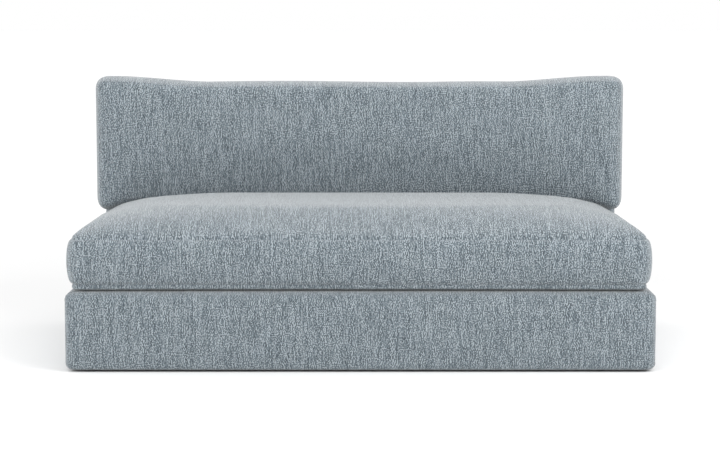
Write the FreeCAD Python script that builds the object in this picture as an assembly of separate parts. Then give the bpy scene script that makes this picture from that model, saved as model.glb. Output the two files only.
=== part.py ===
"""Armless sofa with one bench seat cushion and one back cushion, both loose.

Millimetres, +Z up, front towards -Y, so that +X is to the right in a view of the front.
The origin is on the floor, under the middle of the whole sofa.

The base is a wooden box frame that stands on small glides. Zigzag springs carry a padded deck.
A back frame of posts and rails is screwed into the base. Fabric covers padding on every outer face.
Each loose cushion is a foam core in a fibre wrap, inside a boxed cover that closes with a zip.
"""

import FreeCAD
import Part
import math
import os

V = FreeCAD.Vector

# Overall sizes
overall_width = 1780.0
overall_depth = 990.0
base_top = 247.0
back_rise = 585.0
back_end_setback = 10.0
back_depth = 120.0

# Cover, padding and boards
cover_thickness = 1.5
wadding_thickness = 12.0
board_thickness = 21.0
post_thickness = 28.0
base_corner_radius = 26.0
base_edge_radius = 24.0
back_edge_radius = 24.0
seam_beside_curve = 1.0
turn_in = 42.0
top_return = 70.0

# Base frame
glide_height = 5.7
dust_cover_thickness = 0.8
dust_cover_setback = 19.0
spring_rail_height = 120.0
spring_rail_gap = 2.0
stretcher_height = 77.0
stretcher_offset = 285.0
rear_rail_height = 122.0
corner_block_leg = 60.0
corner_block_height = 120.0

# Glides
glide_diameter = 25.0
glide_chamfer = 1.5
glide_inset = 16.0

# Zigzag springs, their clips and the wires across them
spring_count = 11
spring_wire = 3.8
spring_width = 50.0
spring_pitch = 45.0
spring_play = 0.2
spring_end_play = 2.5
clip_sheet = 1.5
clip_width = 34.0
clip_plate = 18.0
clip_lip = 10.0
clip_setback = 2.0
tie_wire_diameter = 4.0
tie_wire_count = 2

# Layers of the deck and of the back
insulator_thickness = 4.0
insulator_gap = 5.0
deck_pad_thickness = 21.0
webbing_width = 50.0
webbing_thickness = 2.0
upright_webs = 12
level_webs = 2
back_board_thickness = 3.0
back_pad_thickness = 16.0
back_top_pad_thickness = 17.5
back_bottom_rail_lift = 15.0

# Coach screws that hold the back posts in the base
screw_diameter = 8.0
screw_head_width = 13.0
screw_head_height = 5.5
screw_edge_distance = 25.0
screw_spacing = 45.0
screw_bite = 18.0

# Both cushions: cover, filling and seams
cushion_gap = 0.5
seam_tuck = 8.0
wrap_gap = 0.5
wrap_thickness = 22.0
seam_share = 0.5
end_station_share = 0.3

# Seat cushion: sizes, then the run of its section from front to rear
seat_end_setback = 9.0
seat_front_setback = 3.0
seat_boxing_height = 140.0
seat_seam_rise = 15.0
seat_crown = 81.0
seat_sunk_crown = 36.0
seat_plateau = 870.0
seat_side_fall = 0.92
seat_side_fall_power = 2.2
seat_end_reach = 45.0
seat_end_draw = 30.0
seat_end_flattening = 0.5
seat_flat_front = 34.0
seat_flat_rear = 26.0
seat_shoulder_run = 125.0
seat_shoulder_share = 0.8
seat_crest_share = 0.96
seat_step_gap = 19.0
seat_step_run = 45.0
seat_rear_roll = 40.0
seat_rear_share = 0.92
seat_boxing_bulge = 7.2
seat_roll_bulge = 22.0
seat_crest_bulge = 10.0
seat_end_roll_bulge = 4.0
seat_end_crest_bulge = 2.0
seat_stations = (0.75, 0.49)
seat_core_top_gap = 3.0
seat_core_end_share = 0.6
seat_zip_boxing_return = 60.0

# Back cushion: sizes, then the run of its section
cushion_overhang = 10.0
cushion_seat_gap = 2.0
cushion_back_height = 416.0
cushion_back_thickness = 216.0
cushion_corner_rise = 17.0
cushion_rise_start = 0.56
cushion_rise_run = 0.38
cushion_front_crown = 32.0
cushion_rear_tuck = 8.0
cushion_boxing_crown = 20.0
cushion_flat_setback = 34.0
cushion_foot_setback = 22.0
back_end_reach = 40.0
back_end_draw = 42.0
back_end_thinning = 0.3
cushion_stations = (0.78, 0.58)
back_core_end_gap = 18.0
back_core_side_gap = 8.0
back_core_edge_gap = 14.0

# Zips: groove, tape, chain and slider with its pull tab
zip_channel_width = 16.0
zip_channel_depth = 4.6
zip_end_margin = 75.0
zip_tape_width = 13.0
zip_tape_thickness = 1.0
zip_chain_width = 4.0
zip_chain_height = 1.2
slider_length = 16.0
slider_width = 8.0
slider_nose_width = 5.2
slider_nose = 3.0
slider_tail_width = 6.0
slider_tail = 5.0
slider_plate = 0.9
slider_play = 0.3
slider_rest_gap = 2.0
pull_tab_length = 11.0
pull_tab_width = 4.0
pull_tab_thickness = 0.7
pull_tab_hole = 1.6

# A cut runs this far past a face, and two places this close are the same place
beyond = 60.0
same_place = 0.01

# Places worked out from the sizes
half_width = overall_width / 2
front_y = -overall_depth / 2
rear_y = overall_depth / 2
back_top = base_top + back_rise
base_bottom = glide_height + dust_cover_thickness
rail_bottom = base_bottom + cover_thickness
deck_top = base_top - cover_thickness
spring_top = deck_top - deck_pad_thickness - insulator_thickness
spring_bottom = spring_top - spring_wire
rail_top = spring_bottom - spring_play - clip_sheet
clip_throat = spring_wire + 2 * spring_play
clip_height = 2 * clip_sheet + clip_throat
skin = cover_thickness + wadding_thickness
rail_x = half_width - skin
rail_inner_x = rail_x - board_thickness
rail_front_y = front_y + skin
rail_rear_y = rear_y - cover_thickness - back_board_thickness
inner_front_y = rail_front_y + board_thickness
rear_rail_front_y = rail_rear_y - board_thickness
back_half_width = half_width - back_end_setback
back_front_y = rear_y - back_depth
pad_rear_y = back_front_y + cover_thickness + back_pad_thickness
post_front_y = pad_rear_y + 2 * webbing_thickness
post_x = rail_inner_x
post_inner_x = post_x - post_thickness
post_top = back_top - cover_thickness - back_top_pad_thickness - board_thickness
frame_top = post_top + board_thickness
screw_y = (post_front_y + rail_rear_y) / 2
screw_levels = [rail_top - screw_edge_distance - screw_spacing, rail_top - screw_edge_distance]
spring_rail_rear_y = back_front_y - spring_rail_gap
spring_rail_front_y = spring_rail_rear_y - board_thickness
deck_front_y = front_y + top_return
deck_x = half_width - top_return
bottom_rail_z = rail_top + back_bottom_rail_lift
web_foot = bottom_rail_z + board_thickness
wrap_inset = cover_thickness + wrap_gap
core_inset = wrap_inset + wrap_thickness
cushion_rear_y = back_front_y - cushion_gap
seat_half_width = half_width - seat_end_setback
seat_front_y = front_y + seat_front_setback
seat_low_seam = base_top + seat_seam_rise
seat_top_seam = seat_low_seam + seat_boxing_height
cushion_half_width = back_half_width + cushion_overhang
cushion_front_y = cushion_rear_y - cushion_back_thickness
cushion_bottom = seat_top_seam + seat_sunk_crown + cushion_seat_gap
cushion_top = cushion_bottom + cushion_back_height
cushion_front_seam = cushion_front_y + cushion_front_crown
cushion_rear_seam = cushion_rear_y - cushion_rear_tuck


def box(x0, x1, y0, y1, z0, z1):
    """Block between two corners."""
    return Part.makeBox(x1 - x0, y1 - y0, z1 - z0, V(x0, y0, z0))


def rod(start, end, radius):
    """Round bar from one point to another."""
    along = end - start
    return Part.makeCylinder(radius, along.Length, start, along)


def other_side(shape):
    """Mirror image on the other side of the middle."""
    return shape.mirror(V(0, 0, 0), V(1, 0, 0))


def both_sides(shape):
    """The shape and its mirror image on the other side of the middle."""
    return [shape, other_side(shape)]


def prism(points, height):
    """Closed outline of points, drawn out along the height."""
    return Part.Face(Part.makePolygon(points + points[:1])).extrude(height)


def save(name, *shapes):
    """Write one named piece, or a group of equal pieces, and check that each solid is sound."""
    solids = [solid for shape in shapes for solid in shape.Solids]
    if not solids or not all(solid.isValid() for solid in solids):
        raise ValueError(name + " isn't a sound solid")
    Part.makeCompound(solids).exportStep("parts/" + name + ".step")


def edges_where(shape, test):
    """Edges whose two ends and middle all meet a test."""
    chosen = []
    for edge in shape.Edges:
        middle = edge.valueAt((edge.FirstParameter + edge.LastParameter) / 2)
        points = [vertex.Point for vertex in edge.Vertexes] + [middle]
        if all(test(point) for point in points):
            chosen.append(edge)
    return chosen


def base_block(inset):
    """The padded base as a solid block, drawn in on every face by the inset."""
    x = half_width - inset
    y = front_y + inset
    rear = rear_y - inset
    top = base_top - inset
    block = box(-x, x, y, rear, base_bottom + inset, top)

    def upright_front(p):
        return abs(abs(p.x) - x) < same_place and abs(p.y - y) < same_place

    def top_rim(p):
        return abs(p.z - top) < same_place

    block = block.makeFillet(base_corner_radius - inset, edges_where(block, upright_front))
    rim = [e for e in edges_where(block, top_rim) if e.CenterOfMass.y < rear - same_place]
    return block.makeFillet(base_edge_radius - inset, rim)


def back_block(inset):
    """The padded back as a solid block that stands on the base, drawn in by the inset."""
    x = back_half_width - inset
    y = back_front_y + inset
    block = box(-x, x, y, rear_y - inset, base_top, back_top - inset)

    def front_rim(p):
        return abs(p.y - y) < same_place

    rim = [e for e in edges_where(block, front_rim) if e.CenterOfMass.z > base_top + same_place]
    return block.makeFillet(back_edge_radius - inset, rim)


def make_base_frame():
    """Rails, stretchers and corner blocks of the base."""
    front = box(-rail_x, rail_x, rail_front_y, inner_front_y, rail_bottom, rail_top)
    save("front_rail", front)

    side = box(rail_inner_x, rail_x, inner_front_y, rail_rear_y, rail_bottom, rail_top)
    save("right_rail", side)
    save("left_rail", other_side(side))

    rear = box(-post_inner_x, post_inner_x, rear_rail_front_y, rail_rear_y,
               rail_bottom, rail_bottom + rear_rail_height)
    save("rear_rail", rear)

    seat = box(-rail_inner_x, rail_inner_x, spring_rail_front_y, spring_rail_rear_y,
               rail_top - spring_rail_height, rail_top)
    save("spring_rail", seat)

    stretcher = box(stretcher_offset - board_thickness / 2, stretcher_offset + board_thickness / 2,
                    inner_front_y, rear_rail_front_y, rail_bottom, rail_bottom + stretcher_height)
    save("cross_stretchers", *both_sides(stretcher))

    front_block = corner_block(rail_inner_x, inner_front_y, 1)
    rear_block = corner_block(post_inner_x, rear_rail_front_y, -1)
    save("corner_blocks", *both_sides(front_block), *both_sides(rear_block))


def corner_block(x, y, way):
    """Three-cornered glue block in the inner corner at x and y, with its long side to the middle."""
    leg = corner_block_leg
    points = [V(x, y, rail_bottom), V(x - leg, y, rail_bottom), V(x, y + way * leg, rail_bottom)]
    return prism(points, V(0, 0, corner_block_height))


def glide(x, y):
    """One nylon foot, with its lower edge chamfered."""
    foot = Part.makeCylinder(glide_diameter / 2, glide_height, V(x, y, 0))
    return foot.makeChamfer(glide_chamfer, edges_where(foot, lambda p: p.z < same_place))


def make_glides():
    """Nylon feet: one under each corner block and one under the middle of each stretcher."""
    front = inner_front_y + glide_inset
    rear = rear_rail_front_y - glide_inset
    places = [(rail_inner_x - glide_inset, front), (post_inner_x - glide_inset, rear),
              (stretcher_offset, (front + rear) / 2)]
    feet = []
    for x, y in places:
        feet += both_sides(glide(x, y))
    save("glides", *feet)


def screw_shanks():
    """Shanks of the coach screws: through the right post and on into the right rail."""
    return [rod(V(post_inner_x, screw_y, level), V(post_x + screw_bite, screw_y, level), screw_diameter / 2)
            for level in screw_levels]


def make_back_screws():
    """Coach screws, put in from inside the base, with six-sided heads on the posts."""
    corner = screw_head_width / math.sqrt(3)
    screws = []
    for level, shank in zip(screw_levels, screw_shanks()):
        points = [V(post_inner_x, screw_y + corner * math.cos(a), level + corner * math.sin(a))
                  for a in (math.radians(60 * n) for n in range(6))]
        head = prism(points, V(-screw_head_height, 0, 0))
        screws += both_sides(head.fuse(shank))
    save("back_screws", *screws)


def make_back_frame():
    """Posts, rails and braces of the back, and the elastic webbing across its front."""
    post = box(post_inner_x, post_x, post_front_y, rail_rear_y, rail_bottom, post_top)
    post = post.cut(Part.makeCompound(screw_shanks()))
    save("right_back_post", post)
    save("left_back_post", other_side(post))

    top = box(-post_x, post_x, post_front_y, rail_rear_y, post_top, frame_top)
    save("back_top_rail", top)
    lower = box(-post_inner_x, post_inner_x, post_front_y, rail_rear_y, bottom_rail_z, web_foot)
    save("back_bottom_rail", lower)

    brace = box(stretcher_offset - post_thickness / 2, stretcher_offset + post_thickness / 2,
                post_front_y, rail_rear_y, web_foot, post_top)
    save("back_braces", *both_sides(brace))

    webs = []
    upright_y = post_front_y - webbing_thickness
    spacing = 2 * post_inner_x / upright_webs
    for n in range(upright_webs):
        middle = -post_inner_x + spacing * (n + 0.5)
        webs.append(box(middle - webbing_width / 2, middle + webbing_width / 2, upright_y, post_front_y,
                        bottom_rail_z, frame_top))
    gap = (post_top - web_foot) / (level_webs + 1)
    for n in range(level_webs):
        level = web_foot + gap * (n + 1)
        webs.append(box(-post_x, post_x, pad_rear_y, upright_y,
                        level - webbing_width / 2, level + webbing_width / 2))
    save("back_webbing", *webs)


def zigzag_spring(middle_x, y0, y1, z):
    """One flat zigzag spring: bars across its width, joined by short runs at alternate ends."""
    wire = spring_wire / 2
    reach = spring_width / 2 - wire
    turns = round((y1 - y0 - spring_wire) / spring_pitch)
    pitch = (y1 - y0 - spring_wire) / turns
    line = []
    side = -1
    for n in range(turns + 1):
        y = y0 + wire + pitch * n
        line += [V(middle_x + side * reach, y, z), V(middle_x - side * reach, y, z)]
        side = -side
    outline = Part.makePolygon(line).makeOffset2D(wire, 2, False, False, False)
    corners = [vertex.Point for vertex in outline.OrderedVertexes]
    return prism(corners, V(0, 0, spring_wire))


def spring_clip(middle_x, y, way):
    """Folded steel strip: a plate on the rail that turns up and back over the spring's end bar."""
    lip = clip_sheet + clip_throat
    outline = [(0, 0), (clip_plate, 0), (clip_plate, clip_sheet), (clip_sheet, clip_sheet),
               (clip_sheet, lip), (clip_lip, lip), (clip_lip, clip_height), (0, clip_height)]
    points = [V(middle_x - clip_width / 2, y + way * a, rail_top + b) for a, b in outline]
    return prism(points, V(clip_width, 0, 0))


def make_springs():
    """The row of springs, the clips that hold their end bars on the rails, and the wires across."""
    front_clip = rail_front_y + clip_setback
    rear_clip = spring_rail_rear_y - clip_setback
    end = clip_sheet + spring_end_play
    spacing = 2 * rail_inner_x / spring_count
    springs = []
    clips = []
    for n in range(spring_count):
        middle = -rail_inner_x + spacing * (n + 0.5)
        springs.append(zigzag_spring(middle, front_clip + end, rear_clip - end, spring_bottom))
        clips.append(spring_clip(middle, front_clip, 1))
        clips.append(spring_clip(middle, rear_clip, -1))
    save("seat_springs", *springs)
    save("spring_clips", *clips)

    wires = []
    run = (spring_rail_front_y - inner_front_y) / (tie_wire_count + 1)
    level = spring_bottom - tie_wire_diameter / 2
    reach = rail_inner_x - spacing / 2 + spring_width / 2
    for n in range(tie_wire_count):
        y = inner_front_y + run * (n + 1)
        wires.append(rod(V(-reach, y, level), V(reach, y, level), tie_wire_diameter / 2))
    save("tie_wires", *wires)


def make_deck():
    """Layers over the springs: the insulator, the deck pad and the plain deck cloth."""
    pad_bottom = spring_top + insulator_thickness
    insulator = box(-deck_x, deck_x, deck_front_y, spring_rail_front_y - insulator_gap, spring_top, pad_bottom)
    save("spring_insulator", insulator)
    save("deck_pad", box(-deck_x, deck_x, deck_front_y, back_front_y, pad_bottom, deck_top))
    save("deck_cloth", box(-deck_x, deck_x, deck_front_y, back_front_y, deck_top, base_top))


def make_base_upholstery():
    """Padding and cover of the base: front, left and right, each turned in on top and underneath."""
    padded = base_block(cover_thickness)
    shell = base_block(0).cut(padded)
    far = overall_width
    frame_space = box(-rail_x, rail_x, rail_front_y, rear_y, rail_bottom, rail_top)
    deck_space = box(-deck_x, deck_x, deck_front_y, rear_y, rail_bottom, base_top)
    front_zone = box(-far, far, front_y, deck_front_y, rail_bottom, base_top)
    pads = padded.cut(frame_space).cut(deck_space)
    clip_space = box(-rail_x, rail_x, rail_front_y, deck_front_y, rail_top,
                     rail_top + clip_height + spring_play)
    save("front_pad", pads.common(front_zone).cut(clip_space))
    side_zone = box(deck_x, far, deck_front_y, back_front_y, rail_bottom, base_top)
    rear_zone = box(rail_x, far, back_front_y, rail_rear_y, rail_bottom, base_top)
    ledge = box(post_x, rail_x, back_front_y, rail_rear_y, rail_top, base_top)
    right_pad = pads.common(side_zone.fuse(rear_zone).fuse(ledge)).removeSplitter()
    save("right_pad", right_pad)
    save("left_pad", other_side(right_pad))

    seam_y = front_y + base_corner_radius + seam_beside_curve
    under = box(-(half_width - turn_in), half_width - turn_in, front_y + turn_in, rear_y - turn_in,
                0, rail_bottom)
    post_hole = box(-post_x, post_x, back_front_y, rear_y, rail_bottom, base_top)
    open_shell = shell.cut(under).cut(deck_space).cut(post_hole)
    front = open_shell.common(box(-far, far, front_y, seam_y, 0, base_top))
    inner_front = open_shell.common(box(-deck_x, deck_x, seam_y, deck_front_y, 0, base_top))
    save("base_front_cover", front.fuse(inner_front).removeSplitter())
    side = box(deck_x, far, seam_y, rail_rear_y + back_board_thickness, 0, base_top)
    right = open_shell.common(side)
    save("base_right_cover", right)
    save("base_left_cover", other_side(right))

    dust_x = half_width - dust_cover_setback
    dust = box(-dust_x, dust_x, front_y + dust_cover_setback, rear_y - dust_cover_setback,
               glide_height, base_bottom)
    save("dust_cover", dust)


def make_back_upholstery():
    """Padding and cover of the back, and the board and cloth that close it behind."""
    padded = back_block(cover_thickness)
    shell = back_block(0).cut(padded)
    far = overall_width
    inside = padded.common(box(-far, far, back_front_y, pad_rear_y, base_top, back_top))
    save("inside_back_pad", inside)
    top = padded.common(box(-post_x, post_x, pad_rear_y, rail_rear_y, frame_top, back_top))
    save("back_top_pad", top)
    end = padded.common(box(post_x, far, pad_rear_y, rail_rear_y, base_top, back_top))
    save("right_back_end_pad", end)
    save("left_back_end_pad", other_side(end))

    seam_y = back_front_y + back_edge_radius + seam_beside_curve
    cover_end = rail_rear_y + back_board_thickness
    face = shell.common(box(-far, far, back_front_y, seam_y, base_top, back_top))
    over_top = shell.common(box(-far, far, seam_y, cover_end, back_top - back_edge_radius, back_top))
    save("inside_back_cover", face.fuse(over_top).removeSplitter())
    side = shell.common(box(post_x, far, seam_y, cover_end, base_top, back_top - back_edge_radius))
    save("right_back_end_cover", side)
    save("left_back_end_cover", other_side(side))

    board = box(-post_x, post_x, rail_rear_y, rear_y - cover_thickness, rail_bottom, frame_top)
    save("outside_back_board", board)
    lower = box(-half_width, half_width, rear_y - cover_thickness, rear_y, base_bottom, base_top)
    upper = box(-back_half_width, back_half_width, rear_y - cover_thickness, rear_y, base_top, back_top)
    save("outside_back_cover", lower.fuse(upper).removeSplitter())


def bulged(a, b, depth):
    """Arc between two points of a profile, which swells out of it by the depth."""
    chord = b - a
    middle = (a + b) * 0.5
    across = V(0, -chord.z, chord.y)
    across.normalize()
    return Part.Arc(a, middle + across * depth, b).toShape()


def straight(a, b):
    """Straight edge between two points."""
    return Part.LineSegment(a, b).toShape()


def end_shrink(x, half, reach):
    """How far a cushion's section has drawn in at x: 0 in the middle, 1 at its very end."""
    into = max(0.0, 1 - (half - abs(x)) / reach)
    return 1 - math.sqrt(max(0.0, 1 - into * into))


def stations(half, reach, inner):
    """Places along a cushion where its section is drawn, close together at the rounded ends."""
    side = [half, half - reach * end_station_share, half - reach] + [place * half for place in inner]
    return [-x for x in side] + side[::-1]


def lofted(sections):
    """Solid through closed sections, with straight runs between them."""
    return Part.makeLoft([Part.Wire(edges) for edges in sections], True, True).Solids[0]


def seat_crown_at(x, half):
    """Rise of the seat's crown above its top seam: flat in the middle, falling to the sides."""
    plateau = seat_plateau / 2
    out = max(0.0, abs(x) - plateau) / (half - plateau)
    return seat_crown * (1 - seat_side_fall * out ** seat_side_fall_power)


def seat_form(inset):
    """The seat cushion's form, drawn in on all sides by the inset."""
    half = seat_half_width - inset
    front = seat_front_y + inset
    rear = cushion_rear_y - inset
    bottom = base_top + cushion_gap + inset
    low_seam = seat_low_seam + inset * seam_share
    top_seam = seat_top_seam - inset * seam_share
    middle_y = (front + rear) / 2
    middle_z = (low_seam + top_seam) / 2
    step_y = back_front_y - cushion_back_thickness - seat_step_gap
    sections = []
    for x in stations(half, seat_end_reach, seat_stations):
        drawn = end_shrink(x, half, seat_end_reach)
        crown = seat_crown_at(x, half) - inset
        sunk = min(seat_sunk_crown, crown * seat_shoulder_share) if crown > 0 else crown
        tall = 1 - seat_end_flattening * drawn
        deep = 1 - seat_end_draw * drawn / ((rear - front) / 2)
        full = crown / seat_crown
        roll_bulge = seat_end_roll_bulge + (seat_roll_bulge - seat_end_roll_bulge) * full
        crest_bulge = seat_end_crest_bulge + (seat_crest_bulge - seat_end_crest_bulge) * full

        def point(y, z):
            return V(x, middle_y + (y - middle_y) * deep, middle_z + (z - middle_z) * tall)

        flat_front = point(front + seat_flat_front, bottom)
        seam_front = point(front + seam_tuck, low_seam)
        crown_seam = point(front + seam_tuck, top_seam)
        shoulder = point(front + seat_shoulder_run, top_seam + seat_shoulder_share * crown)
        crown_end = point(step_y, top_seam + seat_crest_share * crown)
        sunk_start = point(step_y + seat_step_run, top_seam + sunk)
        sunk_end = point(rear - seat_rear_roll, top_seam + seat_rear_share * sunk)
        rear_top = point(rear, top_seam)
        rear_low = point(rear, low_seam)
        flat_rear = point(rear - seat_flat_rear, bottom)
        sections.append([
            straight(flat_front, seam_front),
            bulged(seam_front, crown_seam, seat_boxing_bulge),
            bulged(crown_seam, shoulder, roll_bulge),
            bulged(shoulder, crown_end, crest_bulge),
            straight(crown_end, sunk_start),
            straight(sunk_start, sunk_end),
            straight(sunk_end, rear_top),
            straight(rear_top, rear_low),
            straight(rear_low, flat_rear),
            straight(flat_rear, flat_front),
        ])
    return lofted(sections)


def corner_rise_at(x, half):
    """How much higher than its middle the back cushion's top edge stands, up to its corners."""
    out = (abs(x) / half - cushion_rise_start) / cushion_rise_run
    out = min(1.0, max(0.0, out))
    return cushion_corner_rise * out * out * (3 - 2 * out)


def back_form(inset):
    """The back cushion's form, drawn in on all sides by the inset."""
    half = cushion_half_width - inset
    rear = cushion_rear_y - inset
    bottom = cushion_bottom + inset
    front_seam = cushion_front_seam + inset
    rear_seam = cushion_rear_seam - inset
    middle_y = (front_seam + rear_seam) / 2
    sections = []
    for x in stations(half, back_end_reach, cushion_stations):
        drawn = end_shrink(x, half, back_end_reach)
        top = cushion_top + corner_rise_at(x, half) - inset
        middle_z = (top + bottom) / 2
        tall = 1 - back_end_draw * drawn / ((top - bottom) / 2)
        deep = 1 - back_end_thinning * drawn

        def point(y, z):
            return V(x, middle_y + (y - middle_y) * deep, middle_z + (z - middle_z) * tall)

        high = top - cushion_boxing_crown
        low = bottom + cushion_boxing_crown
        front_low = point(front_seam, low)
        front_high = point(front_seam, high)
        rear_high = point(rear_seam, high)
        flat_high = point(rear, high - cushion_flat_setback)
        flat_low = point(rear, low + cushion_flat_setback)
        rear_low = point(rear_seam, low)
        foot_rear = point(rear_seam - cushion_foot_setback, bottom)
        foot_front = point(front_seam + cushion_foot_setback, bottom)
        sections.append([
            bulged(front_low, front_high, cushion_front_crown * deep),
            bulged(front_high, rear_high, cushion_boxing_crown * tall),
            straight(rear_high, flat_high),
            straight(flat_high, flat_low),
            straight(flat_low, rear_low),
            straight(rear_low, foot_rear),
            straight(foot_rear, foot_front),
            straight(foot_front, front_low),
        ])
    return lofted(sections)


def zip_layer(x0, x1, half_side, near, far):
    """Block along a zip, between two depths below the face of the cover."""
    return box(x0, x1, -half_side, half_side, near, far)


def in_cover(shape, place, turn):
    """Lay a zip's shape, drawn with its depth along +Z, into the cover at its place."""
    laid = shape.copy()
    laid.rotate(V(0, 0, 0), V(1, 0, 0), turn)
    laid.translate(place)
    return laid


def zip_channel(length, place, turn, grow):
    """Groove that keeps a zip below the cover's face, with its walls moved out to grow."""
    half = length / 2 + grow
    groove = zip_layer(-half, half, zip_channel_width / 2 + grow, -beyond, zip_channel_depth + grow)
    return in_cover(groove, place, turn)


def make_zip(name, length, place, turn):
    """A zip on the floor of its groove: tape, chain and slider. The slider rests at its closed end."""
    tape_top = zip_channel_depth - zip_tape_thickness
    chain_top = tape_top - zip_chain_height
    tape = zip_layer(-length / 2, length / 2, zip_tape_width / 2, tape_top, zip_channel_depth)
    chain = zip_layer(-length / 2, length / 2, zip_chain_width / 2, chain_top, tape_top)
    save(name + "_zip", in_cover(tape.fuse(chain).removeSplitter(), place, turn))
    start = -length / 2 + slider_rest_gap
    slider = zip_slider(chain_top - slider_play, tape_top - slider_play)
    slider.translate(V(start, 0, 0))
    save(name + "_zip_slider", in_cover(slider, place, turn))


def zip_slider(throat_top, flange_foot):
    """Slider from its nose at 0: a plate with two flanges beside the chain, and a flat pull tab."""
    nose = slider_nose_width / 2
    wide = slider_width / 2
    tail = slider_tail_width / 2
    side = [(0, nose), (slider_nose, wide), (slider_length - slider_tail, wide), (slider_length, tail)]
    outline = side + [(x, -y) for x, y in reversed(side)]
    plate_top = throat_top - slider_plate
    body = prism([V(x, y, plate_top) for x, y in outline], V(0, 0, flange_foot - plate_top))
    throat = zip_layer(-slider_rest_gap, slider_length + slider_rest_gap,
                       zip_chain_width / 2 + slider_play, throat_top, zip_channel_depth)
    body = body.cut(throat)

    tab_top = plate_top - pull_tab_thickness
    tab_end = slider_nose + pull_tab_length
    tab = zip_layer(slider_nose, tab_end, pull_tab_width / 2, tab_top, plate_top)
    tab_round = Part.makeCylinder(pull_tab_width / 2, pull_tab_thickness, V(tab_end, 0, tab_top))
    tab_hole = Part.makeCylinder(pull_tab_hole / 2, pull_tab_thickness, V(tab_end, 0, tab_top))
    return body.fuse(tab).fuse(tab_round).cut(tab_hole).removeSplitter()


def panel(cover, y0, y1, z0, z1):
    """The stretch of a cushion's cover between two seams."""
    return cover.common(box(-overall_width, overall_width, y0, y1, z0, z1))


def make_seat_cushion():
    """Foam core, fibre wrap and boxed cover of the bench seat cushion, with the zip behind."""
    length = 2 * (seat_half_width - zip_end_margin)
    place = V(0, cushion_rear_y, (seat_low_seam + seat_top_seam) / 2)
    turn = 90
    outer = seat_form(0).cut(zip_channel(length, place, turn, 0))
    inner = seat_form(cover_thickness).cut(zip_channel(length, place, turn, cover_thickness))
    cover = outer.cut(inner)
    seam_y = cushion_rear_y - seat_zip_boxing_return
    save("seat_top_panel", panel(cover, front_y, rear_y, seat_top_seam, back_top))
    save("seat_bottom_panel", panel(cover, front_y, rear_y, base_top, seat_low_seam))
    save("seat_boxing", panel(cover, front_y, seam_y, seat_low_seam, seat_top_seam))
    save("seat_zip_boxing", panel(cover, seam_y, rear_y, seat_low_seam, seat_top_seam))
    make_zip("seat", length, place, turn)

    wrap = seat_form(wrap_inset).cut(zip_channel(length, place, turn, wrap_inset))
    core_x = seat_half_width - seat_end_reach - core_inset * seat_core_end_share
    core = box(-core_x, core_x, seat_front_y + core_inset + seam_tuck, cushion_rear_y - core_inset,
               base_top + core_inset, seat_top_seam - seat_core_top_gap)
    save("seat_fibre_wrap", wrap.cut(core))
    save("seat_foam_core", core)


def make_back_cushion():
    """Foam core, fibre wrap and boxed cover of the back cushion, with the zip underneath."""
    length = 2 * (cushion_half_width - zip_end_margin)
    place = V(0, (cushion_front_seam + cushion_rear_seam) / 2, cushion_bottom)
    turn = 0
    above = cushion_top + beyond
    outer = back_form(0).cut(zip_channel(length, place, turn, 0))
    inner = back_form(cover_thickness).cut(zip_channel(length, place, turn, cover_thickness))
    cover = outer.cut(inner)
    save("back_front_panel", panel(cover, front_y, cushion_front_seam, base_top, above))
    save("back_boxing", panel(cover, cushion_front_seam, cushion_rear_seam, base_top, above))
    save("back_rear_panel", panel(cover, cushion_rear_seam, rear_y, base_top, above))
    make_zip("back", length, place, turn)

    wrap = back_form(wrap_inset).cut(zip_channel(length, place, turn, wrap_inset))
    core_x = cushion_half_width - core_inset - back_core_end_gap
    core = box(-core_x, core_x,
               cushion_front_seam + back_core_side_gap, cushion_rear_seam - back_core_side_gap,
               cushion_bottom + core_inset + back_core_edge_gap,
               cushion_top - core_inset - back_core_edge_gap)
    save("back_fibre_wrap", wrap.cut(core))
    save("back_foam_core", core)


os.makedirs("parts", exist_ok=True)
make_base_frame()
make_glides()
make_back_frame()
make_back_screws()
make_springs()
make_deck()
make_base_upholstery()
make_back_upholstery()
make_seat_cushion()
make_back_cushion()
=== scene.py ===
"""The armless sofa: one bench seat cushion and one back cushion on a padded box base.

Metres, +Z up, front towards -Y. The pieces come in the order in which the sofa is put together.
"""

import math

import bmesh
import bpy
from mathutils import Matrix, Vector, noise


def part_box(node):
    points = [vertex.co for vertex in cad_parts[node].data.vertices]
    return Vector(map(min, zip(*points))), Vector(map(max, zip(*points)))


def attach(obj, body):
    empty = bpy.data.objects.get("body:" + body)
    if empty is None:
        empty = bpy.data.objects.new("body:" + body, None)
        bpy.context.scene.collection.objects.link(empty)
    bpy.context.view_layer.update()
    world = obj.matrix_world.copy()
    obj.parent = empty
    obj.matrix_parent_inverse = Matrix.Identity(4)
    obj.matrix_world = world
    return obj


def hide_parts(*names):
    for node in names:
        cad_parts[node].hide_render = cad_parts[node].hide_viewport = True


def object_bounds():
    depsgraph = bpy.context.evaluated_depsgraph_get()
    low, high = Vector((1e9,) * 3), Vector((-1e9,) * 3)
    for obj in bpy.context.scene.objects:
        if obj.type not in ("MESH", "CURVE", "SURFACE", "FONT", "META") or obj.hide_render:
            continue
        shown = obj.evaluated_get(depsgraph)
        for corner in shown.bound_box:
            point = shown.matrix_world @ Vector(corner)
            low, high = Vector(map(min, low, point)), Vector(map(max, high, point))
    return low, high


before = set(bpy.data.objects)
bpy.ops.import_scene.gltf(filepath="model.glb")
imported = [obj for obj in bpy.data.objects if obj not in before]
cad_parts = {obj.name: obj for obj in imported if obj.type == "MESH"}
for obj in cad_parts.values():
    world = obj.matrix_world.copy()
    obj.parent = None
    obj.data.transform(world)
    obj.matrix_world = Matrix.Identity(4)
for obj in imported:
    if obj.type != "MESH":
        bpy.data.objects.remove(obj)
cad_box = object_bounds()
scene = bpy.context.scene

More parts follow.
